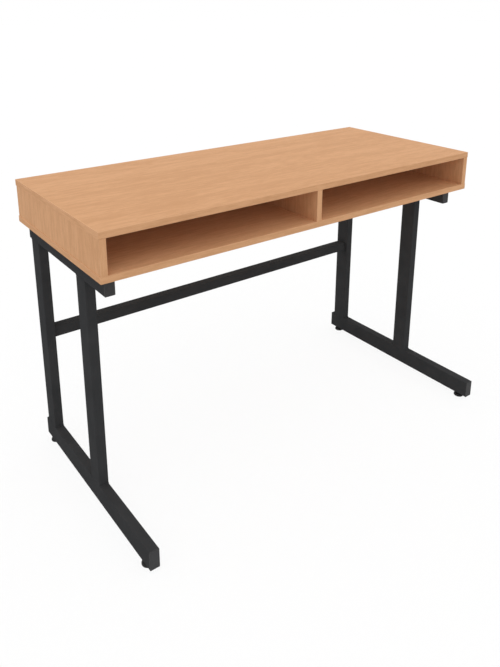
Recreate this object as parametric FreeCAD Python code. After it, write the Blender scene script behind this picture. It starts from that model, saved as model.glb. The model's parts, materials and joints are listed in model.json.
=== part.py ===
import FreeCAD, Part
import math
import os

from FreeCAD import Vector

# Student desk: a beech-faced box with two open compartments, on a black steel frame.
# Millimetres. X runs along the desk, Y from the sitter to the back, Z up.
# The origin is on the floor, under the middle of the desk's outline.

# Overall sizes
TOP_LENGTH = 1200.0
TOP_DEPTH = 500.0
DESK_HEIGHT = 780.0

# Boards of the box
BOARD = 16.0                # thickness of every board
COMPARTMENT_HEIGHT = 82.0   # clear height of the compartments
EDGING = 2.0                # thickness of the edge bands
ARRIS = 1.0                 # rounding of the edge bands' long edges
SIDE_SETBACK = 1.5          # sides, in from the ends of the top
BACK_SETBACK = 0.5          # back board, in front of the rear edge of the top

# Steel frame
TUBE_WIDTH = 25.0           # rails and posts, along X
TUBE_DEPTH = 50.0           # rails along Z, posts along Y
TUBE_WALL = 1.5
TUBE_CORNER = 2.0           # outside corner radius of every tube
LEAST_CORNER = 0.3          # the inside corner radius never gets smaller than this
CROSS_TUBE = 30.0           # square section of the cross rail
FRAME_INSET = 24.0          # outer faces of the frame, in from the ends of the top
TOE = 111.0                 # foot rails reach this far in front of the top
HEEL = 2.0                  # foot rails reach this far behind the top
TOP_RAIL_SETBACK = 39.0     # front ends of the top rails, behind the front edge of the top
FRONT_POST_SETBACK = 106.0  # front posts, behind the front ends of the top rails
REAR_POST_SETBACK = 12.0    # rear posts, in front of the rear ends of the top rails
CROSS_RAIL_RISE = 323.0     # underside of the cross rail, above the underside of the foot rails

# End caps of the rails
CAP_FLANGE = 2.0            # thickness of the part that shows
CAP_EDGE = 0.8              # rounding round the face that shows
CAP_DEPTH = 12.0            # how far the hollow shank goes in
CAP_WALL = 2.0
CAP_CLEARANCE = 0.2         # shank to tube, all round

# Levelling feet
PAD_DIAMETER = 30.0
PAD_HEIGHT = 8.2
PAD_EDGE = 2.0              # rounding where the pad meets the floor
PAD_SHOULDER = 5.5          # rounding at the top of the pad
SOCKET_FLOOR = 2.2          # pad left under the blind hole for the spindle's end
COLLAR_HEIGHT = 3.4         # hexagon that a spanner turns
HEX_FLATS = 13.0            # across the flats, for the collar and the nut
NUT_HEIGHT = 6.5
STEM_DIAMETER = 8.0
PITCH = 1.25
THREAD_DEPTH = 0.6
TRAVEL = 10.0               # how far a foot screws out
STEM_SPARE = 1.0            # stem left above the nut when the foot is right out
FRONT_FOOT_INSET = 34.5     # from the front end of the foot rail to the foot's axis
REAR_FOOT_INSET = 31.0      # from the rear end of the foot rail to the foot's axis
STEM_HOLE_ROOM = 0.5        # hole in the rail's underside, round the stem
RUNNING = 0.05              # radial clearance of a part that turns in a hole
SEAT_GAP = 0.2              # clearance between faces that bear on each other and turn

# Dowels between the top board and the uprights
DOWEL_DIAMETER = 8.0
DOWEL_LENGTH = 30.0
DOWEL_CHAMFER = 1.0
DOWEL_COVER = 5.0           # board left above a dowel's hole
SIDE_DOWELS = 3
SIDE_DOWEL_MARGIN = 60.0
BACK_DOWELS = 4
BACK_DOWEL_MARGIN = 120.0

# Screws from below, through the bottom board into the uprights
CARCASS_SCREW_LENGTH = 50.0
CARCASS_SCREW_HEAD = 9.5
CARCASS_HEAD_HEIGHT = 4.0
CARCASS_SCREW_NECK = 6.5
CARCASS_SCREW_CORE = 5.0
SIDE_SCREWS = 2
SIDE_SCREW_MARGIN = 100.0
BACK_SCREWS = 4
BACK_SCREW_MARGIN = 200.0

# Screws that hold the box on the top rails
FRAME_SCREW_SHANK = 4.6
FRAME_SCREW_HEAD = 10.0
FRAME_HEAD_HEIGHT = 3.0
FRAME_SCREW_COVER = 4.0     # board left above the screw's tip
FRAME_SCREW_SETBACK = 50.0  # first screw, behind the front end of the top rail
POST_TO_SCREW = 40.0        # the other screws, from the posts beside them
ACCESS_HOLE = 13.0          # in the underside of the top rail, below each screw

# Screw heads and the holes of all fixings
RECESS_LENGTH = 5.0
RECESS_WIDTH = 1.2
RECESS_DEPTH = 2.0
HOLE_CLEARANCE = 0.05       # radial
HOLE_END_ROOM = 0.5         # past the end of a dowel or screw
OVERCUT = 1.0               # a through cut runs this far past the piece
FILLET_SHARE = 0.9          # a rounding takes at most this share of the wall it is on
SAME = 1e-6                 # lengths and directions closer than this count as equal
HEX_SIDES = 6
FULL_TURN = 360.0           # degrees

X_AXIS = Vector(1, 0, 0)
Y_AXIS = Vector(0, 1, 0)
Z_AXIS = Vector(0, 0, 1)
SIDES = {"left": -1, "right": 1}

# Roundings that their walls limit
arris = min(ARRIS, EDGING * FILLET_SHARE)
cap_edge = min(CAP_EDGE, CAP_FLANGE * FILLET_SHARE)
pad_shoulder = min(PAD_SHOULDER, (PAD_HEIGHT - PAD_EDGE) * FILLET_SHARE)
tube_inside_corner = max(TUBE_CORNER - TUBE_WALL, LEAST_CORNER)

# Levels
rail_under = PAD_HEIGHT + COLLAR_HEIGHT + 2 * SEAT_GAP
rail_top = rail_under + TUBE_DEPTH
top_under = DESK_HEIGHT - BOARD
floor_top = top_under - COMPARTMENT_HEIGHT
floor_under = floor_top - BOARD
top_rail_under = floor_under - TUBE_DEPTH

# Lines along the depth
foot_length = TOP_DEPTH + TOE + HEEL
toe_end = -foot_length / 2
heel_end = foot_length / 2
front = toe_end + TOE
rear = heel_end - HEEL
top_rail_front = front + TOP_RAIL_SETBACK
front_post_front = top_rail_front + FRONT_POST_SETBACK
front_post_rear = front_post_front + TUBE_DEPTH
rear_post_rear = rear - REAR_POST_SETBACK
rear_post_front = rear_post_rear - TUBE_DEPTH
back_rear = rear - BACK_SETBACK
back_front = back_rear - BOARD

# Lines along the length
end = TOP_LENGTH / 2
side_outer = end - SIDE_SETBACK
side_inner = side_outer - BOARD
side_middle = (side_outer + side_inner) / 2
back_middle = (back_front + back_rear) / 2
frame_outer = end - FRAME_INSET
frame_inner = frame_outer - TUBE_WIDTH
frame_middle = (frame_outer + frame_inner) / 2


def block(low, high):
    size = high - low
    return Part.makeBox(size.x, size.y, size.z, low)


def edges_along(shape, axis):
    return [edge for edge in shape.Edges if edge.tangentAt(edge.FirstParameter).cross(axis).Length < SAME]


def rounded_bar(low, high, axis, corner):
    bar = block(low, high)
    return bar.makeFillet(corner, edges_along(bar, axis))


def tube(low, high, axis):
    across = Vector(1, 1, 1) - axis
    outer = rounded_bar(low, high, axis, TUBE_CORNER)
    bore_low = low + across * TUBE_WALL - axis * OVERCUT
    bore_high = high - across * TUBE_WALL + axis * OVERCUT
    return outer.cut(rounded_bar(bore_low, bore_high, axis, tube_inside_corner))


def upright_stack(x, y, steps):
    """Cylinders on one vertical axis; each step is (diameter, bottom, top)."""
    solids = [Part.makeCylinder(d / 2, high - low, Vector(x, y, low)) for d, low, high in steps]
    return solids[0].multiFuse(solids[1:]) if len(solids) > 1 else solids[0]


def hexagon(x, y, low, high):
    """A hexagonal prism with two flats facing along X."""
    half_side_angle = math.pi / HEX_SIDES
    radius = HEX_FLATS / 2 / math.cos(half_side_angle)
    angles = [(2 * i + 1) * half_side_angle for i in range(HEX_SIDES + 1)]
    corners = [Vector(x + radius * math.cos(a), y + radius * math.sin(a), low) for a in angles]
    return Part.Face(Part.makePolygon(corners)).extrude(Z_AXIS * (high - low))


def spread(low, high, count, margin):
    step = (high - low - 2 * margin) / max(count - 1, 1)
    return [low + margin + i * step for i in range(count)]


def edged_board(bottom):
    """A full-size board: its core, and the four edge bands round it with rounded edges."""
    low = Vector(-end, front, bottom)
    high = Vector(end, rear, bottom + BOARD)
    core_low = low + Vector(EDGING, EDGING, 0)
    core_high = high - Vector(EDGING, EDGING, 0)
    whole = block(low, high)
    inside = block(core_low - Z_AXIS * OVERCUT, core_high + Z_AXIS * OVERCUT)
    ring = whole.makeFillet(arris, whole.Edges).cut(inside)
    bands = {
        "front": (low, Vector(high.x, core_low.y, high.z)),
        "rear": (Vector(low.x, core_high.y, low.z), high),
        "left": (Vector(low.x, core_low.y, low.z), Vector(core_low.x, core_high.y, high.z)),
        "right": (Vector(core_high.x, core_low.y, low.z), Vector(high.x, core_high.y, high.z)),
    }
    return block(core_low, core_high), {name: ring.common(block(*box)) for name, box in bands.items()}


def upright_band(x_low, x_high, shown_y, joint_y):
    """An edge band on an upright, with its long edges rounded at shown_y."""
    y_low, y_high = sorted((shown_y, joint_y))
    band = block(Vector(x_low, y_low, floor_top), Vector(x_high, y_high, top_under))
    shown = [edge for edge in edges_along(band, Z_AXIS) if abs(edge.CenterOfMass.y - shown_y) < EDGING / 2]
    return band.makeFillet(arris, shown)


def upright_places(side_count, side_margin, back_count, back_margin):
    """Places for fixings along the middles of the divider, the sides and the back board."""
    places = [(0, y) for y in spread(front, back_front, side_count, side_margin)]
    for sign in SIDES.values():
        places += [(sign * side_middle, y) for y in spread(front, back_rear, side_count, side_margin)]
    return places + [(x, back_middle) for x in spread(-side_inner, side_inner, back_count, back_margin)]


def recess(x, y, bottom):
    """Cross-shaped driver recess in a screw head that faces down."""
    half = RECESS_LENGTH / 2
    thin = RECESS_WIDTH / 2
    low = bottom - OVERCUT
    high = bottom + RECESS_DEPTH
    one = block(Vector(x - half, y - thin, low), Vector(x + half, y + thin, high))
    other = block(Vector(x - thin, y - half, low), Vector(x + thin, y + half, high))
    return one.fuse(other)


def widened(steps, top_room):
    """The hole for a stack of cylinders: a little wider, and deeper at its top."""
    hole = [(d + 2 * HOLE_CLEARANCE, low, high) for d, low, high in steps]
    d, low, high = hole[-1]
    return hole[:-1] + [(d, low, high + top_room)]


def dowel(x, y):
    """A dowel, with its hole in the top board and in the upright below it."""
    high = DESK_HEIGHT - DOWEL_COVER - HOLE_END_ROOM
    low = high - DOWEL_LENGTH
    pin = Part.makeCylinder(DOWEL_DIAMETER / 2, DOWEL_LENGTH, Vector(x, y, low))
    ends = [edge for edge in pin.Edges if len(edge.Vertexes) == 1]
    hole = widened([(DOWEL_DIAMETER, low - HOLE_END_ROOM, high)], HOLE_END_ROOM)
    return pin.makeChamfer(DOWEL_CHAMFER, ends), upright_stack(x, y, hole)


def carcass_screw(x, y):
    """A screw whose head is flush with the underside of the bottom board, and its hole."""
    head_top = floor_under + CARCASS_HEAD_HEIGHT
    steps = [
        (CARCASS_SCREW_HEAD, floor_under, head_top),
        (CARCASS_SCREW_NECK, head_top, floor_top),
        (CARCASS_SCREW_CORE, floor_top, floor_under + CARCASS_SCREW_LENGTH),
    ]
    screw = upright_stack(x, y, steps).cut(recess(x, y, floor_under))
    return screw, upright_stack(x, y, widened(steps, HOLE_END_ROOM))


def frame_screw(x, y):
    """A screw with its head inside a top rail and its tip in the bottom board, and the holes for it."""
    seat = floor_under - TUBE_WALL
    head_under = seat - FRAME_HEAD_HEIGHT
    shank = (FRAME_SCREW_SHANK, seat, floor_top - FRAME_SCREW_COVER)
    screw = upright_stack(x, y, [(FRAME_SCREW_HEAD, head_under, seat), shank]).cut(recess(x, y, head_under))
    access = (ACCESS_HOLE, top_rail_under - OVERCUT, top_rail_under + TUBE_WALL + OVERCUT)
    hole = upright_stack(x, y, widened([shank], HOLE_END_ROOM))
    return screw, Part.makeCompound([hole, upright_stack(x, y, [access])])


def rail(side, low_y, high_y, low_z):
    """A rail along Y with room for an end cap's flange at each end."""
    inner, outer = sorted((side * frame_inner, side * frame_outer))
    low = Vector(inner, low_y + CAP_FLANGE, low_z)
    return tube(low, Vector(outer, high_y - CAP_FLANGE, low_z + TUBE_DEPTH), Y_AXIS)


def post(side, low_y):
    inner, outer = sorted((side * frame_inner, side * frame_outer))
    return tube(Vector(inner, low_y, rail_top), Vector(outer, low_y + TUBE_DEPTH, top_rail_under), Z_AXIS)


def end_cap(side, end_y, inward, low_z):
    """A cap on a rail's end at end_y: a flange that shows, and a hollow shank inside the tube."""
    inner, outer = sorted((side * frame_inner, side * frame_outer))
    low = Vector(inner, 0, low_z)
    high = Vector(outer, CAP_FLANGE, low_z + TUBE_DEPTH)
    flange = rounded_bar(low, high, Y_AXIS, TUBE_CORNER)
    rim = [edge for edge in flange.Edges if edge.BoundBox.YMax < CAP_FLANGE / 2]
    flange = flange.makeFillet(cap_edge, rim)
    across = Vector(1, 0, 1)
    to_shank = across * (TUBE_WALL + CAP_CLEARANCE)
    to_pocket = to_shank + across * CAP_WALL
    shank_low = low + Y_AXIS * CAP_FLANGE
    shank_high = high + Y_AXIS * CAP_DEPTH
    shank = rounded_bar(shank_low + to_shank, shank_high - to_shank, Y_AXIS, tube_inside_corner)
    pocket = block(shank_low + to_pocket, shank_high - to_pocket + Y_AXIS * OVERCUT)
    cap = flange.fuse(shank.cut(pocket)).removeSplitter()
    if inward < 0:
        cap = cap.mirror(Vector(0, 0, 0), Y_AXIS)
    cap.translate(Vector(0, end_y, 0))
    return cap


def foot_pad(x, y):
    pad = Part.makeCylinder(PAD_DIAMETER / 2, PAD_HEIGHT, Vector(x, y, 0))
    low_rim = [edge for edge in pad.Edges if edge.BoundBox.ZMax < PAD_HEIGHT / 2]
    pad = pad.makeFillet(PAD_EDGE, low_rim)
    high_rim = [edge for edge in pad.Edges if edge.BoundBox.ZMin > PAD_HEIGHT / 2]
    pad = pad.makeFillet(pad_shoulder, high_rim)
    socket = (STEM_DIAMETER + 2 * RUNNING, SOCKET_FLOOR, PAD_HEIGHT + OVERCUT)
    return pad.cut(upright_stack(x, y, [socket]))


def spindle(x, y):
    """Journal in the pad, hexagon collar, and a stem ribbed at the thread's pitch."""
    collar_under = PAD_HEIGHT + SEAT_GAP
    collar_top = collar_under + COLLAR_HEIGHT
    stem_top = rail_under + TUBE_WALL + NUT_HEIGHT + TRAVEL + STEM_SPARE
    journal = upright_stack(x, y, [(STEM_DIAMETER, SOCKET_FLOOR + SEAT_GAP, collar_under)])
    crest = STEM_DIAMETER / 2
    root = crest - THREAD_DEPTH
    turns = int((stem_top - collar_top) / PITCH)
    outline = [Vector(0, 0, collar_top), Vector(root, 0, collar_top)]
    for turn in range(turns):
        foot = collar_top + turn * PITCH
        outline.append(Vector(crest, 0, foot + PITCH / 2))
        outline.append(Vector(root, 0, foot + PITCH))
    outline += [Vector(root, 0, stem_top), Vector(0, 0, stem_top)]
    points = [p for i, p in enumerate(outline) if i == 0 or p.distanceToPoint(outline[i - 1]) > SAME]
    stem = Part.Face(Part.makePolygon(points + points[:1])).revolve(Vector(0, 0, 0), Z_AXIS, FULL_TURN)
    stem.translate(Vector(x, y, 0))
    return journal.multiFuse([hexagon(x, y, collar_under, collar_top), stem])


def foot_nut(x, y):
    low = rail_under + TUBE_WALL
    bore = (STEM_DIAMETER + 2 * RUNNING, low - OVERCUT, low + NUT_HEIGHT + OVERCUT)
    return hexagon(x, y, low, low + NUT_HEIGHT).cut(upright_stack(x, y, [bore]))


def stem_hole(x, y):
    wide = STEM_DIAMETER + 2 * STEM_HOLE_ROOM
    return upright_stack(x, y, [(wide, rail_under - OVERCUT, rail_under + TUBE_WALL + OVERCUT)])


def drilled(shape, holes):
    return shape.cut(Part.makeCompound(holes))


nodes = {}

# Fixings of the box, and the holes that they need
dowel_places = upright_places(SIDE_DOWELS, SIDE_DOWEL_MARGIN, BACK_DOWELS, BACK_DOWEL_MARGIN)
dowels = [dowel(x, y) for x, y in dowel_places]
carcass_places = upright_places(SIDE_SCREWS, SIDE_SCREW_MARGIN, BACK_SCREWS, BACK_SCREW_MARGIN)
carcass_screws = [carcass_screw(x, y) for x, y in carcass_places]
frame_screw_y = [
    top_rail_front + FRAME_SCREW_SETBACK,
    front_post_rear + POST_TO_SCREW,
    rear_post_front - POST_TO_SCREW,
]
frame_screws = {}
for name, sign in SIDES.items():
    frame_screws[name] = [frame_screw(sign * frame_middle, y) for y in frame_screw_y]

nodes["dowels"] = Part.makeCompound([pin for pin, hole in dowels])
nodes["carcass_screws"] = Part.makeCompound([screw for screw, hole in carcass_screws])
nodes["frame_screws"] = Part.makeCompound([screw for row in frame_screws.values() for screw, hole in row])

dowel_holes = [hole for pin, hole in dowels]
carcass_holes = [hole for screw, hole in carcass_screws]
frame_holes = {name: [hole for screw, hole in row] for name, row in frame_screws.items()}

# Top and bottom boards with their edge bands
top_core, top_bands = edged_board(top_under)
floor_core, floor_bands = edged_board(floor_under)
nodes["top_board"] = drilled(top_core, dowel_holes)
nodes["bottom_board"] = drilled(floor_core, carcass_holes + frame_holes["left"] + frame_holes["right"])
for name in top_bands:
    nodes["top_" + name + "_edging"] = top_bands[name]
    nodes["bottom_" + name + "_edging"] = floor_bands[name]

# Uprights: two sides, the divider and the back board
for name, sign in SIDES.items():
    x_low, x_high = sorted((sign * side_inner, sign * side_outer))
    side = block(Vector(x_low, front + EDGING, floor_top), Vector(x_high, back_rear - EDGING, top_under))
    nodes[name + "_side_board"] = drilled(side, dowel_holes + carcass_holes)
    nodes[name + "_side_front_edging"] = upright_band(x_low, x_high, front, front + EDGING)
    nodes[name + "_side_rear_edging"] = upright_band(x_low, x_high, back_rear, back_rear - EDGING)
divider = block(Vector(-BOARD / 2, front + EDGING, floor_top), Vector(BOARD / 2, back_front, top_under))
nodes["centre_divider"] = drilled(divider, dowel_holes + carcass_holes)
nodes["divider_edging"] = upright_band(-BOARD / 2, BOARD / 2, front, front + EDGING)
back = block(Vector(-side_inner, back_front, floor_top), Vector(side_inner, back_rear, top_under))
nodes["back_board"] = drilled(back, dowel_holes + carcass_holes)

# Welded steel frame, and the caps in the ends of its rails
foot_y = {"front": toe_end + FRONT_FOOT_INSET, "rear": heel_end - REAR_FOOT_INSET}
for name, sign in SIDES.items():
    stem_holes = [stem_hole(sign * frame_middle, y) for y in foot_y.values()]
    nodes[name + "_foot_rail"] = drilled(rail(sign, toe_end, heel_end, rail_under), stem_holes)
    nodes[name + "_top_rail"] = drilled(rail(sign, top_rail_front, rear, top_rail_under), frame_holes[name])
    nodes[name + "_front_post"] = post(sign, front_post_front)
    nodes[name + "_rear_post"] = post(sign, rear_post_front)
    nodes[name + "_foot_front_cap"] = end_cap(sign, toe_end, 1, rail_under)
    nodes[name + "_foot_rear_cap"] = end_cap(sign, heel_end, -1, rail_under)
    nodes[name + "_top_rail_front_cap"] = end_cap(sign, top_rail_front, 1, top_rail_under)
    nodes[name + "_top_rail_rear_cap"] = end_cap(sign, rear, -1, top_rail_under)

cross_middle = (rear_post_front + rear_post_rear) / 2
cross_low = Vector(-frame_inner, cross_middle - CROSS_TUBE / 2, rail_under + CROSS_RAIL_RISE)
cross_high = Vector(frame_inner, cross_middle + CROSS_TUBE / 2, rail_under + CROSS_RAIL_RISE + CROSS_TUBE)
nodes["cross_rail"] = tube(cross_low, cross_high, X_AXIS)

# Levelling feet
nuts = []
for name, sign in SIDES.items():
    for place, y in foot_y.items():
        x = sign * frame_middle
        nodes[place + "_" + name + "_pad"] = foot_pad(x, y)
        nodes[place + "_" + name + "_spindle"] = spindle(x, y)
        nuts.append(foot_nut(x, y))
nodes["foot_nuts"] = Part.makeCompound(nuts)

os.makedirs("parts", exist_ok=True)
for name, shape in nodes.items():
    shape.exportStep("parts/" + name + ".step")
    state = "valid" if shape.isValid() else "NOT VALID"
    print(name, len(shape.Solids), "solids", round(shape.Volume), "mm3", state)
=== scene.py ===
import json
import math

import bpy
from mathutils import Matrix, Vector


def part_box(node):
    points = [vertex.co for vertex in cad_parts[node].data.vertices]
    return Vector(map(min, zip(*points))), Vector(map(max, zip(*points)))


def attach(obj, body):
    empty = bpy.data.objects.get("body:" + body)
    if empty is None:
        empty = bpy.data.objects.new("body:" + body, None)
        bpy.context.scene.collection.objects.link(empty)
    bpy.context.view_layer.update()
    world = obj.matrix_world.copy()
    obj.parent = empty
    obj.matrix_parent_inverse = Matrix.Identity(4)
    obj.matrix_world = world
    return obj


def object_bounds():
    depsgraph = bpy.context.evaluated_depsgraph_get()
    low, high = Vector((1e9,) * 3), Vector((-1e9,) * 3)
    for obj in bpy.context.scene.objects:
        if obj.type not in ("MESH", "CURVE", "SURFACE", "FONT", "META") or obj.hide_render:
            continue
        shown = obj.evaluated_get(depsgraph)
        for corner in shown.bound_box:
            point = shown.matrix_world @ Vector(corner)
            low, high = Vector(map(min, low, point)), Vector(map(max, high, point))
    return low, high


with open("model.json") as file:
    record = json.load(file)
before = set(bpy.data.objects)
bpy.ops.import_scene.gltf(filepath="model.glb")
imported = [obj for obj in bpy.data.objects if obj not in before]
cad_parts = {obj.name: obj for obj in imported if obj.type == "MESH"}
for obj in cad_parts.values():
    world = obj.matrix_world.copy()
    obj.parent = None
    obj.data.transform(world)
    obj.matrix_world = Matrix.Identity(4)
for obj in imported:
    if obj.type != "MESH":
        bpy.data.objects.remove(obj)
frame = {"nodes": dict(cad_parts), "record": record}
cad_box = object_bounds()

# Student desk: finishes, weld beads, studio and camera. Metres, in the frame of the solids.

# Camera of the photograph
IMAGE_WIDTH = 500            # pixels
IMAGE_HEIGHT = 667
FOCAL_PIXELS = 668.9
AXIS_PIXEL_X = 243.75        # where the lens's axis meets the image
AXIS_PIXEL_Y = 192.94
CAMERA_AZIMUTH = -36.32      # degrees
CAMERA_ELEVATION = 16.487    # degrees, downwards
CAMERA_PLACE = (-1.1083, -1.3789, 1.2336)
SENSOR = 36.0                # millimetres, along the image's long side

# Studio
WHITE = (1.0, 1.0, 1.0)
WORLD_LEVEL = 0.87           # light from all round
KEY_LEVEL = 0.30             # soft key light
KEY_FROM = (-0.30, -0.40, 0.87)
KEY_SPREAD = 60.0            # degrees, for soft shadows
FILL_LEVEL = 0.086           # faint light without shadows, which reaches into the compartments
FILL_FROM = (-0.05, -0.05, 1.0)
FILL_SPREAD = 20.0           # degrees
FLOOR_SIZE = 60.0
FLOOR_COLOUR = (0.68, 0.68, 0.68)    # as it lights the desk
FLOOR_SHADOW = (0.10, 0.10, 0.10)    # as it is seen: how strongly it shows the desk's shadow
FLOOR_CLEAR = (0.905, 0.905, 0.905)  # and how much shows through it, such as feet screwed out below it

# Values between which a noise takes effect, for all finishes; its own values run from 0 to 1
WIDE_SPAN = (0.2, 0.8)
MIDDLE_SPAN = (0.3, 0.7)

# Beech decor of the boards and bands
BEECH_LIGHT = (0.743, 0.414, 0.221)
BEECH_DEEP = (0.652, 0.350, 0.179)
BEECH_FLECK = (0.430, 0.205, 0.090)
# Paler colour for the bands' rounded edges: partly the whitening of a scraped edge band, partly a painted
# highlight
BEECH_SCRAPE_AND_HIGHLIGHT = (0.800, 0.520, 0.330)
BEECH_ROUGHNESS = (0.44, 0.58)
BEECH_GLOSS = 0.02
BEECH_RELIEF = 0.00006

# Its grain: features to the metre, along the grain and both ways across it
GRAIN_SWAY = (1.6, 7.0, 7.0)
GRAIN_BANDS = (1.2, 20.0, 20.0)
GRAIN_STREAKS = (11.0, 120.0, 120.0)
GRAIN_DASHES = (34.0, 300.0, 300.0)
GRAIN_LINES = (12.0, 900.0, 900.0)
GRAIN_FLECKS = (240.0, 1800.0, 1800.0)
SWAY_WIDTH = 0.045           # how far the grain can wander sideways
STREAK_RAGGEDNESS = 0.55     # strength of the finer noise in the streaks
GRAIN_SHIFT = (0.31, 0.17, 0.07)  # from one wood finish to the next, so that no two look alike
UPRIGHTS = ("left_side_board", "right_side_board", "centre_divider")  # their grain runs upwards

# Strength of the grain
BAND_WEIGHT = 0.24
STREAK_WEIGHT = 0.40
DASH_WEIGHT = 0.36
TONE_SPAN = (0.40, 0.60)
LINE_SPAN = (0.45, 0.80)
LINE_STRENGTH = 0.30
FLECK_SPAN = (0.60, 0.72)
FLECK_STRENGTH = 0.34
SCRAPE_AND_HIGHLIGHT_SPAN = (0.97, 0.80)    # from a flat face to a band's rounded edge, which is painted paler: partly the whitening of a scraped edge band, partly a painted highlight
SCRAPE_AND_HIGHLIGHT_STRENGTH = 0.35
FLECK_RELIEF = -0.6          # shares of the relief
LINE_RELIEF = 0.4

# Raw beech of the dowels, which stand upright
DOWEL_COLOUR = (0.620, 0.420, 0.260)
DOWEL_LINES = (700.0, 700.0, 30.0)  # to the metre
DOWEL_ROUGHNESS = (0.60, 0.75)
DOWEL_RELIEF = 0.0001

# Powder coat
COAT_COLOUR = (0.0385, 0.0395, 0.0410)
COAT_PALE = (0.0515, 0.0525, 0.0545)
COAT_GRIT = 1500.0           # features to the metre, as for the finishes below
COAT_PEEL = 260.0
COAT_CLOUD = 18.0
COAT_ROUGHNESS = (0.70, 0.82)
COAT_GLOSS = 0.010
COAT_RELIEF = 0.00005
PEEL_RELIEF = 1.5            # relief of the peel, against the grit's

# Moulded plastic of the end caps and the pads
CAP_COLOUR = (0.038, 0.038, 0.039)
CAP_PALE = (0.043, 0.043, 0.044)
CAP_ROUGHNESS = (0.52, 0.68)
PAD_COLOUR = (0.009, 0.009, 0.009)
PAD_PALE = (0.014, 0.014, 0.014)
PAD_ROUGHNESS = (0.30, 0.46)
PLASTIC_GRAIN = 2600.0
PLASTIC_CLOUD = 90.0
PLASTIC_GLOSS = 0.25
PLASTIC_RELIEF = 0.00004

# Zinc plate of the screws and nuts, and black zinc plate of the spindles
ZINC_COLOUR = (0.60, 0.60, 0.62)
ZINC_DULL = (0.42, 0.42, 0.44)
ZINC_ROUGHNESS = (0.28, 0.44)
BLACK_ZINC = (0.030, 0.030, 0.032)
BLACK_ZINC_PALE = (0.055, 0.055, 0.058)
BLACK_ZINC_ROUGHNESS = (0.39, 0.55)
PLATE_CLOUD = 300.0
PLATE_LINES = (2500.0, 2500.0, 150.0)
PLATE_SPAN = (0.35, 0.70)
PLATE_RELIEF = 0.00002

# Welds of the steel frame
TUBE_CORNER = 0.0020         # outside corner radius of the tubes
BEAD_RADIUS = 0.0016
BEAD_SIDES = 10
RIPPLE_PITCH = 0.0022
RIPPLE_DEPTH = 0.06          # share of the bead's radius
RINGS_PER_RIPPLE = 5
BEAD_PROUD = 0.0003          # how far out a bead's centre lies where it fills a corner
BEAD_SUNK = 0.00135          # how far in it lies where two faces are flush
BEAD_DROP = 0.0012           # how far it then reaches into the groove of the rail's rounded edge

# Numbers of the sockets that carry colours on Blender's Mix node
MIX_FIRST = 6
MIX_SECOND = 7
MIX_RESULT = 2

AXES = "xyz"


class Tree:
    """The nodes of a material or a world, with short calls for the kinds that are used here."""

    def __init__(self, owner):
        owner.use_nodes = True
        self.owner = owner
        self.nodes = owner.node_tree.nodes
        self.links = owner.node_tree.links

    def feed(self, socket, value):
        """Link another node's output to a socket, or set the socket's own value."""
        if isinstance(value, bpy.types.NodeSocket):
            self.links.new(value, socket)
        elif socket.type == "RGBA":
            socket.default_value = (*value, 1.0)
        else:
            socket.default_value = value

    def add(self, kind, sockets, **settings):
        """A new node, with its settings made and its sockets fed."""
        node = self.nodes.new(kind)
        for key, value in settings.items():
            setattr(node, key, value)
        for key, value in sockets.items():
            self.feed(node.inputs[key], value)
        return node

    def calc(self, operation, *values):
        return self.add("ShaderNodeMath", dict(enumerate(values)), operation=operation).outputs[0]

    def vector(self, operation, *values):
        return self.add("ShaderNodeVectorMath", dict(enumerate(values)), operation=operation).outputs[0]

    def total(self, *terms):
        """The sum of values, each times its weight."""
        result = 0.0
        for value, weight in terms:
            result = self.calc("MULTIPLY_ADD", value, weight, result)
        return result

    def place(self):
        """The point on the piece, in metres."""
        return self.nodes.new("ShaderNodeTexCoord").outputs["Object"]

    def noise(self, place, per_metre, detail=2.0, roughness=0.5):
        """Noise from 0 to 1, with so many features to the metre all ways, or along each axis."""
        scale = per_metre if isinstance(per_metre, tuple) else (per_metre, per_metre, per_metre)
        scaled = self.vector("MULTIPLY", place, scale)
        sockets = {"Vector": scaled, "Scale": 1.0, "Detail": detail, "Roughness": roughness}
        return self.add("ShaderNodeTexNoise", sockets).outputs["Fac"]

    def step(self, value, span, result=(0.0, 1.0)):
        """A soft step from the first result to the second, as a value goes through its span."""
        node = self.add("ShaderNodeMapRange", {"Value": value}, interpolation_type="SMOOTHSTEP")
        for name, limit in zip(("From Min", "From Max", "To Min", "To Max"), (*span, *result)):
            self.feed(node.inputs[name], limit)
        return node.outputs["Result"]

    def blend(self, share, first, second):
        """A colour that goes from first to second."""
        sockets = {"Factor": share, MIX_FIRST: first, MIX_SECOND: second}
        return self.add("ShaderNodeMix", sockets, data_type="RGBA").outputs[MIX_RESULT]

    def set(self, **sockets):
        """Feed sockets of the material's shader."""
        for key, value in sockets.items():
            self.feed(self.nodes["Principled BSDF"].inputs[key.replace("_", " ")], value)

    def bump(self, height, depth):
        """Relief of the given depth, in metres."""
        node = self.add("ShaderNodeBump", {"Height": height, "Distance": depth, "Strength": 1.0})
        self.set(Normal=node.outputs["Normal"])


def new_tree(name):
    """The nodes of a new material."""
    return Tree(bpy.data.materials.new(name))


def along(tree, grain):
    """The point on the piece with its first axis along the grain."""
    parts = tree.add("ShaderNodeSeparateXYZ", {0: tree.place()}).outputs
    order = [grain] + [axis for axis in range(len(AXES)) if axis != grain]
    turned = {i: parts[axis] for i, axis in enumerate(order)}
    return tree.add("ShaderNodeCombineXYZ", turned).outputs[0]


def flatness(tree):
    """1 on a face that looks straight along an axis, less on a rounded edge."""
    normal = tree.nodes.new("ShaderNodeNewGeometry").outputs["True Normal"]
    parts = tree.add("ShaderNodeSeparateXYZ", {0: tree.vector("ABSOLUTE", normal)}).outputs
    return tree.calc("MAXIMUM", tree.calc("MAXIMUM", parts[0], parts[1]), parts[2])


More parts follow.
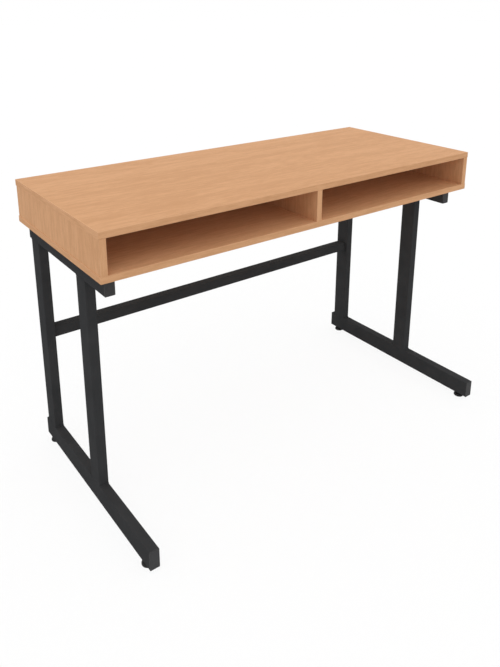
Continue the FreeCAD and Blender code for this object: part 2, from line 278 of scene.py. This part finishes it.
def beech(name, grain, shift, edging):
    """Printed beech decor: broad bands, streaks, fine lines and short flecks along the grain; on edging,
    the rounded edges are painted paler, partly as the whitening of a scraped band and partly as a painted
    highlight.
    """
    tree = new_tree(name)
    place = tree.vector("ADD", along(tree, grain), shift)
    sway = tree.calc("MULTIPLY_ADD", tree.noise(place, GRAIN_SWAY), SWAY_WIDTH, -SWAY_WIDTH / 2)
    place = tree.vector("ADD", place, tree.add("ShaderNodeCombineXYZ", {1: sway}).outputs[0])
    bands = tree.noise(place, GRAIN_BANDS)
    streaks = tree.noise(place, GRAIN_STREAKS, roughness=STREAK_RAGGEDNESS)
    dashes = tree.noise(place, GRAIN_DASHES)
    lines = tree.noise(place, GRAIN_LINES)
    flecks = tree.step(tree.noise(place, GRAIN_FLECKS, detail=1.0), FLECK_SPAN)
    tone = tree.total((bands, BAND_WEIGHT), (streaks, STREAK_WEIGHT), (dashes, DASH_WEIGHT))
    colour = tree.blend(tree.step(tone, TONE_SPAN), BEECH_LIGHT, BEECH_DEEP)
    colour = tree.blend(tree.step(lines, LINE_SPAN, (0.0, LINE_STRENGTH)), colour, BEECH_DEEP)
    colour = tree.blend(tree.calc("MULTIPLY", flecks, FLECK_STRENGTH), colour, BEECH_FLECK)
    if edging:
        # Rounded edges painted paler: partly the whitening of a scraped edge band, partly a painted
        # highlight
        scrape_and_highlight = tree.step(flatness(tree), SCRAPE_AND_HIGHLIGHT_SPAN, (0.0, SCRAPE_AND_HIGHLIGHT_STRENGTH))
        colour = tree.blend(scrape_and_highlight, colour, BEECH_SCRAPE_AND_HIGHLIGHT)
    tree.set(Base_Color=colour, Specular_IOR_Level=BEECH_GLOSS)
    tree.set(Roughness=tree.step(lines, WIDE_SPAN, BEECH_ROUGHNESS))
    tree.bump(tree.total((flecks, FLECK_RELIEF), (lines, LINE_RELIEF)), BEECH_RELIEF)
    return tree.owner


def raw_beech():
    """Turned dowel wood."""
    tree = new_tree("raw_beech")
    lines = tree.noise(tree.place(), DOWEL_LINES)
    tree.set(Base_Color=tree.blend(lines, DOWEL_COLOUR, BEECH_DEEP))
    tree.set(Roughness=tree.step(lines, WIDE_SPAN, DOWEL_ROUGHNESS))
    tree.bump(lines, DOWEL_RELIEF)
    return tree.owner


def powder_coat():
    """Black coat with a fine texture over faint orange peel."""
    tree = new_tree("powder_coat")
    place = tree.place()
    grit = tree.noise(place, COAT_GRIT)
    peel = tree.noise(place, COAT_PEEL, detail=1.0)
    cloud = tree.noise(place, COAT_CLOUD, detail=3.0)
    shade = tree.total((grit, 0.5), (cloud, 0.5))
    tree.set(Base_Color=tree.blend(tree.step(shade, MIDDLE_SPAN), COAT_COLOUR, COAT_PALE))
    tree.set(Roughness=tree.step(shade, MIDDLE_SPAN, COAT_ROUGHNESS), Specular_IOR_Level=COAT_GLOSS)
    tree.bump(tree.total((grit, 1.0), (peel, PEEL_RELIEF)), COAT_RELIEF)
    return tree.owner


def moulded_plastic(name, colour, pale, roughness):
    """Black plastic with an eroded mould texture."""
    tree = new_tree(name)
    place = tree.place()
    grain = tree.noise(place, PLASTIC_GRAIN)
    cloud = tree.noise(place, PLASTIC_CLOUD)
    tree.set(Base_Color=tree.blend(tree.step(cloud, MIDDLE_SPAN), colour, pale))
    tree.set(Roughness=tree.step(grain, MIDDLE_SPAN, roughness), Specular_IOR_Level=PLASTIC_GLOSS)
    tree.bump(grain, PLASTIC_RELIEF)
    return tree.owner


def plated(name, colour, worn, roughness):
    """Zinc-plated steel with faint cloudy wear and drawn lines."""
    tree = new_tree(name)
    place = tree.place()
    cloud = tree.noise(place, PLATE_CLOUD, detail=3.0)
    lines = tree.noise(place, PLATE_LINES, detail=1.0)
    tree.set(Base_Color=tree.blend(tree.step(cloud, PLATE_SPAN), colour, worn), Metallic=1.0)
    tree.set(Roughness=tree.step(cloud, MIDDLE_SPAN, roughness))
    tree.bump(lines, PLATE_RELIEF)
    return tree.owner


def grain_axis(node):
    """The number of the axis along which a wooden piece's grain runs."""
    if node in UPRIGHTS:
        return AXES.index("z")
    low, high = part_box(node)
    size = list(high - low)
    return size.index(max(size))


def dress_nodes():
    """Give every solid its finish, by its slot."""
    finish = {
        "black_frame": powder_coat(),
        "black_plastic": moulded_plastic("cap_plastic", CAP_COLOUR, CAP_PALE, CAP_ROUGHNESS),
        "plated_steel": plated("zinc_plate", ZINC_COLOUR, ZINC_DULL, ZINC_ROUGHNESS),
        "blackened_steel": plated("black_zinc_plate", BLACK_ZINC, BLACK_ZINC_PALE, BLACK_ZINC_ROUGHNESS),
        "dowel_wood": raw_beech(),
    }
    pad_plastic = moulded_plastic("pad_plastic", PAD_COLOUR, PAD_PALE, PAD_ROUGHNESS)
    wood = {}
    for part in frame["record"]["subparts"]:
        node, slot = part["node"], part["material_slot"]
        if node.endswith("_pad"):
            material = pad_plastic
        elif slot in finish:
            material = finish[slot]
        else:
            grain = grain_axis(node)
            if (slot, grain) not in wood:
                shift = tuple(step * len(wood) for step in GRAIN_SHIFT)
                wood[slot, grain] = beech(f"{slot}_{AXES[grain]}", grain, shift, slot == "beech_edging")
            material = wood[slot, grain]
        for holder in frame["nodes"][node].material_slots:
            holder.material = material
    return finish


def rounded_loop(low, high, corner, spacing):
    """Points round a rounded rectangle, each with its outward direction: ((u, v), (nu, nv))."""
    centres = [
        (high[0] - corner, high[1] - corner),
        (low[0] + corner, high[1] - corner),
        (low[0] + corner, low[1] + corner),
        (high[0] - corner, low[1] + corner),
    ]
    arc = max(1, round(corner * math.pi / 2 / spacing))
    anchors = []
    for quarter, (u, v) in enumerate(centres):
        for i in range(arc + 1):
            angle = (quarter + i / arc) * math.pi / 2
            normal = (math.cos(angle), math.sin(angle))
            anchors.append(((u + corner * normal[0], v + corner * normal[1]), normal))
    points = []
    for i, (here, normal) in enumerate(anchors):
        there = anchors[(i + 1) % len(anchors)][0]
        count = max(1, round(math.dist(here, there) / spacing))
        for k in range(count):
            share = k / count
            point = tuple(a + (b - a) * share for a, b in zip(here, there))
            points.append((point, normal))
    return points


def bead(name, centres, material):
    """A closed weld bead along a loop of points, rippled as a run of weld is."""
    verts, faces = [], []
    count = len(centres)
    for i, centre in enumerate(centres):
        ahead = (centres[(i + 1) % count] - centres[i - 1]).normalized()
        side = ahead.orthogonal().normalized()
        up = ahead.cross(side)
        radius = BEAD_RADIUS * (1 + RIPPLE_DEPTH * math.cos(2 * math.pi * i / RINGS_PER_RIPPLE))
        for k in range(BEAD_SIDES):
            angle = 2 * math.pi * k / BEAD_SIDES
            verts.append(centre + (side * math.cos(angle) + up * math.sin(angle)) * radius)
    for i in range(count):
        this_ring = i * BEAD_SIDES
        next_ring = (i + 1) % count * BEAD_SIDES
        for k in range(BEAD_SIDES):
            after = (k + 1) % BEAD_SIDES
            faces.append((this_ring + k, this_ring + after, next_ring + after, next_ring + k))
    mesh = bpy.data.meshes.new(name)
    mesh.from_pydata(verts, [], faces)
    mesh.polygons.foreach_set("use_smooth", [True] * len(faces))
    mesh.materials.append(material)
    piece = bpy.data.objects.new(name, mesh)
    bpy.context.scene.collection.objects.link(piece)
    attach(piece, "desk")


def post_weld(loop, level, outward):
    """The line of a bead round a post's end, whose front and rear meet the rail in a corner.

    The post's sides are flush with the rail's, so there the bead lies in the groove between them.
    """
    line = []
    for (x, y), (nx, ny) in loop:
        cornered = ny * ny
        flush = 1 - cornered
        out = BEAD_PROUD * cornered - BEAD_SUNK * flush
        drop = BEAD_DROP * flush - BEAD_PROUD * cornered
        line.append(Vector((x + nx * out, y + ny * out, level + outward * drop)))
    return line


def weld_frame(material):
    """Beads round both ends of each post and both ends of the cross rail."""
    spacing = RIPPLE_PITCH / RINGS_PER_RIPPLE
    for side in ("left", "right"):
        for post in ("front_post", "rear_post"):
            low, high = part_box(f"{side}_{post}")
            loop = rounded_loop(low.xy, high.xy, TUBE_CORNER, spacing)
            bead(f"weld_{side}_{post}_foot", post_weld(loop, low.z, -1), material)
            bead(f"weld_{side}_{post}_head", post_weld(loop, high.z, 1), material)
    low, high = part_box("cross_rail")
    loop = rounded_loop((low.y, low.z), (high.y, high.z), TUBE_CORNER, spacing)
    for side, x in (("left", low.x + BEAD_PROUD), ("right", high.x - BEAD_PROUD)):
        line = [Vector((x, y + ny * BEAD_PROUD, z + nz * BEAD_PROUD)) for (y, z), (ny, nz) in loop]
        bead(f"weld_cross_rail_{side}", line, material)


def seen_share(tree):
    """1 for rays that show the background itself, 0 for rays that light the desk."""
    rays = tree.nodes.new("ShaderNodeLightPath").outputs
    mirrored = tree.calc("MAXIMUM", rays["Is Glossy Ray"], rays["Is Transmission Ray"])
    return tree.calc("MAXIMUM", rays["Is Camera Ray"], mirrored)


def add_sun(name, level, direction, spread, shadow):
    """A distant lamp in the given direction; a wide spread makes its shadows soft."""
    lamp = bpy.data.lights.new(name, "SUN")
    lamp.energy = level
    lamp.angle = math.radians(spread)
    lamp.use_shadow = shadow
    sun = bpy.data.objects.new(name, lamp)
    sun.rotation_mode = "QUATERNION"
    sun.rotation_quaternion = Vector(direction).to_track_quat("Z", "Y")
    bpy.context.scene.collection.objects.link(sun)


def light_studio():
    """Even light from all round, a soft key light and a faint fill, in front of plain white."""
    world = bpy.data.worlds.new("studio")
    bpy.context.scene.world = world
    tree = Tree(world)
    light = tree.nodes["Background"]
    tree.feed(light.inputs["Color"], WHITE)
    tree.feed(light.inputs["Strength"], WORLD_LEVEL)
    white = tree.add("ShaderNodeBackground", {"Color": WHITE, "Strength": 1.0})
    sockets = {0: seen_share(tree), 1: light.outputs[0], 2: white.outputs[0]}
    mix = tree.add("ShaderNodeMixShader", sockets).outputs[0]
    tree.feed(tree.nodes["World Output"].inputs["Surface"], mix)
    add_sun("key", KEY_LEVEL, KEY_FROM, KEY_SPREAD, True)
    add_sun("fill", FILL_LEVEL, FILL_FROM, FILL_SPREAD, False)


def floor_finish():
    """Pale where it lights the desk; where it is seen, clear to the white behind but for a soft shadow."""
    tree = new_tree("floor")
    pale = tree.add("ShaderNodeBsdfDiffuse", {"Color": FLOOR_COLOUR}).outputs[0]
    shaded = tree.add("ShaderNodeBsdfDiffuse", {"Color": FLOOR_SHADOW}).outputs[0]
    clear = tree.add("ShaderNodeBsdfTransparent", {"Color": FLOOR_CLEAR}).outputs[0]
    seen = tree.add("ShaderNodeAddShader", {0: shaded, 1: clear}).outputs[0]
    mix = tree.add("ShaderNodeMixShader", {0: seen_share(tree), 1: pale, 2: seen}).outputs[0]
    tree.feed(tree.nodes["Material Output"].inputs["Surface"], mix)
    tree.nodes.remove(tree.nodes["Principled BSDF"])
    return tree.owner


def lay_floor():
    """A wide floor at the level of the pads."""
    half = FLOOR_SIZE / 2
    level = cad_box[0].z
    corners = [(-half, -half, level), (half, -half, level), (half, half, level), (-half, half, level)]
    mesh = bpy.data.meshes.new("floor")
    mesh.from_pydata(corners, [], [(0, 1, 2, 3)])
    mesh.materials.append(floor_finish())
    floor = bpy.data.objects.new("floor", mesh)
    bpy.context.scene.collection.objects.link(floor)


def set_camera():
    """The photograph's camera; its axis is off the image's middle, so the lens is shifted."""
    lens = bpy.data.cameras.new("camera")
    long_side = max(IMAGE_WIDTH, IMAGE_HEIGHT)
    lens.sensor_width = SENSOR
    lens.lens = FOCAL_PIXELS / long_side * SENSOR
    lens.shift_x = (IMAGE_WIDTH / 2 - AXIS_PIXEL_X) / long_side
    lens.shift_y = (AXIS_PIXEL_Y - IMAGE_HEIGHT / 2) / long_side
    camera = bpy.data.objects.new("camera", lens)
    camera.location = CAMERA_PLACE
    camera.rotation_euler = (math.radians(90 - CAMERA_ELEVATION), 0.0, math.radians(CAMERA_AZIMUTH))
    bpy.context.scene.collection.objects.link(camera)
    bpy.context.scene.camera = camera


finishes = dress_nodes()
weld_frame(finishes["black_frame"])
light_studio()
lay_floor()
set_camera()
bpy.context.scene.view_settings.view_transform = "Standard"
